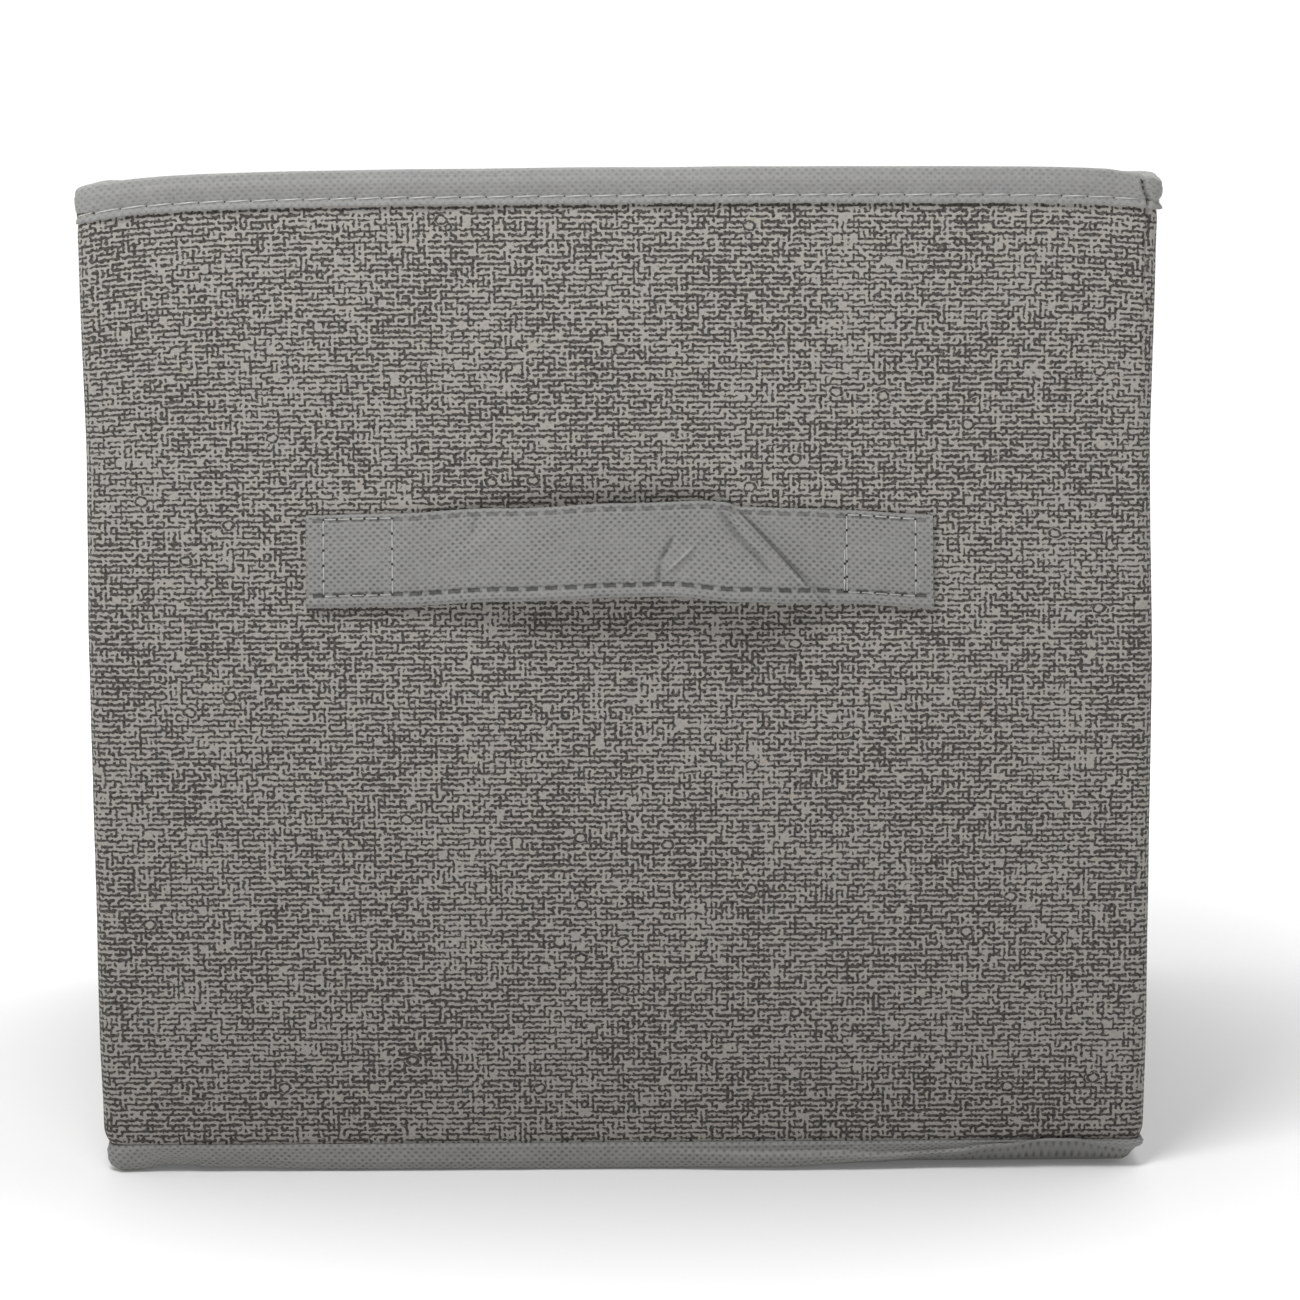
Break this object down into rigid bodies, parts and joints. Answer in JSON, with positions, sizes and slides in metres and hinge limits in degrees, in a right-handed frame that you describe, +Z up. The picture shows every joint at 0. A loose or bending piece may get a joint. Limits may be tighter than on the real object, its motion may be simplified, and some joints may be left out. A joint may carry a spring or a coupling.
{
  "type": "fabric storage bin",
  "caption": "Square open-topped cloth storage bin with stiff printed walls, a plain bound rim, a front strap handle and a loose base board; it folds flat.",
  "frame": {"origin": "middle of the underside, on the surface the bin stands on", "axes": "+Z up towards the open top, -Y out of the front wall that has the handle, +X to the right as seen from the front"},
  "size_m": [0.2722, 0.2688, 0.256],
  "materials": {
    "printed_cloth": "matt non-woven with a dark maze-like print on pale grey",
    "plain_cloth": "matt grey non-woven with a fine dot emboss",
    "base_cloth": "matt grey non-woven with a fine dot emboss",
    "lining_cloth": "thin matt grey non-woven",
    "greyboard": "uncoated recycled board",
    "thread": "light grey polyester thread"
  },
  "bodies": {
    "back_wall": {"bottom_panel": "base_cloth", "base_band_front": "plain_cloth", "base_band_back": "plain_cloth", "base_band_left": "plain_cloth", "base_band_right": "plain_cloth", "back_cover": "printed_cloth", "back_board": "greyboard", "back_lining": "lining_cloth", "back_rim_binding": "plain_cloth", "back_rim_stitching": "thread"},
    "front_wall": {"handle_tab_left": "plain_cloth", "handle_tab_right": "plain_cloth", "handle_stitching_left": "thread", "handle_stitching_right": "thread", "front_cover": "printed_cloth", "front_board": "greyboard", "front_lining": "lining_cloth", "front_rim_binding": "plain_cloth", "front_rim_stitching": "thread"},
    "left_front": {"left_front_cover": "printed_cloth", "left_front_board": "greyboard", "left_front_lining": "lining_cloth", "left_front_rim_binding": "plain_cloth", "left_front_rim_stitching": "thread"},
    "left_rear": {"left_rear_cover": "printed_cloth", "left_rear_board": "greyboard", "left_rear_lining": "lining_cloth", "left_rear_rim_binding": "plain_cloth", "left_rear_rim_stitching": "thread"},
    "right_front": {"right_front_cover": "printed_cloth", "right_front_board": "greyboard", "right_front_lining": "lining_cloth", "right_front_rim_binding": "plain_cloth", "right_front_rim_stitching": "thread"},
    "right_rear": {"right_rear_cover": "printed_cloth", "right_rear_board": "greyboard", "right_rear_lining": "lining_cloth", "right_rear_rim_binding": "plain_cloth", "right_rear_rim_stitching": "thread"},
    "base_board": {"base_board_core": "greyboard", "base_board_top_cloth": "lining_cloth", "base_board_bottom_cloth": "lining_cloth", "base_board_stitching": "thread"},
    "handle": {"handle_strap": "plain_cloth"}
  },
  "joints": [
    {"name": "fold", "type": "hinge", "parent": "back_wall", "child": "left_rear", "pos_m": [-0.1308, 0.1248, 0], "axis": [0, 0, 1], "range_deg": [0, 88], "deforming": ["bottom_panel", "base_band_left", "base_band_right", "base_band_front"]},
    {"name": "left_crease", "type": "hinge", "parent": "left_rear", "child": "left_front", "pos_m": [-0.1362, 0, 0], "axis": [0, 0, 1], "range_deg": [-176, 0]},
    {"name": "front_corner", "type": "hinge", "parent": "left_front", "child": "front_wall", "pos_m": [-0.1308, -0.1248, 0], "axis": [0, 0, 1], "range_deg": [0, 88]},
    {"name": "right_rear_corner", "type": "hinge", "parent": "back_wall", "child": "right_rear", "pos_m": [0.1308, 0.1248, 0], "axis": [0, 0, 1], "range_deg": [-88, 0]},
    {"name": "right_crease", "type": "hinge", "parent": "right_rear", "child": "right_front", "pos_m": [0.1362, 0, 0], "axis": [0, 0, 1], "range_deg": [0, 176]},
    {"name": "base_board_lift", "type": "slide", "parent": "back_wall", "child": "base_board", "axis": [0, 0, 1], "range_m": [0, 0.27]},
    {"name": "handle_pull", "type": "slide", "parent": "front_wall", "child": "handle", "axis": [0, -1, 0], "range_m": [0, 0.012]}
  ],
  "couplings": [
    {"joint": "left_crease", "follows": "fold", "ratio": -2},
    {"joint": "front_corner", "follows": "fold", "ratio": 1},
    {"joint": "right_rear_corner", "follows": "fold", "ratio": -1},
    {"joint": "right_crease", "follows": "fold", "ratio": 2}
  ]
}
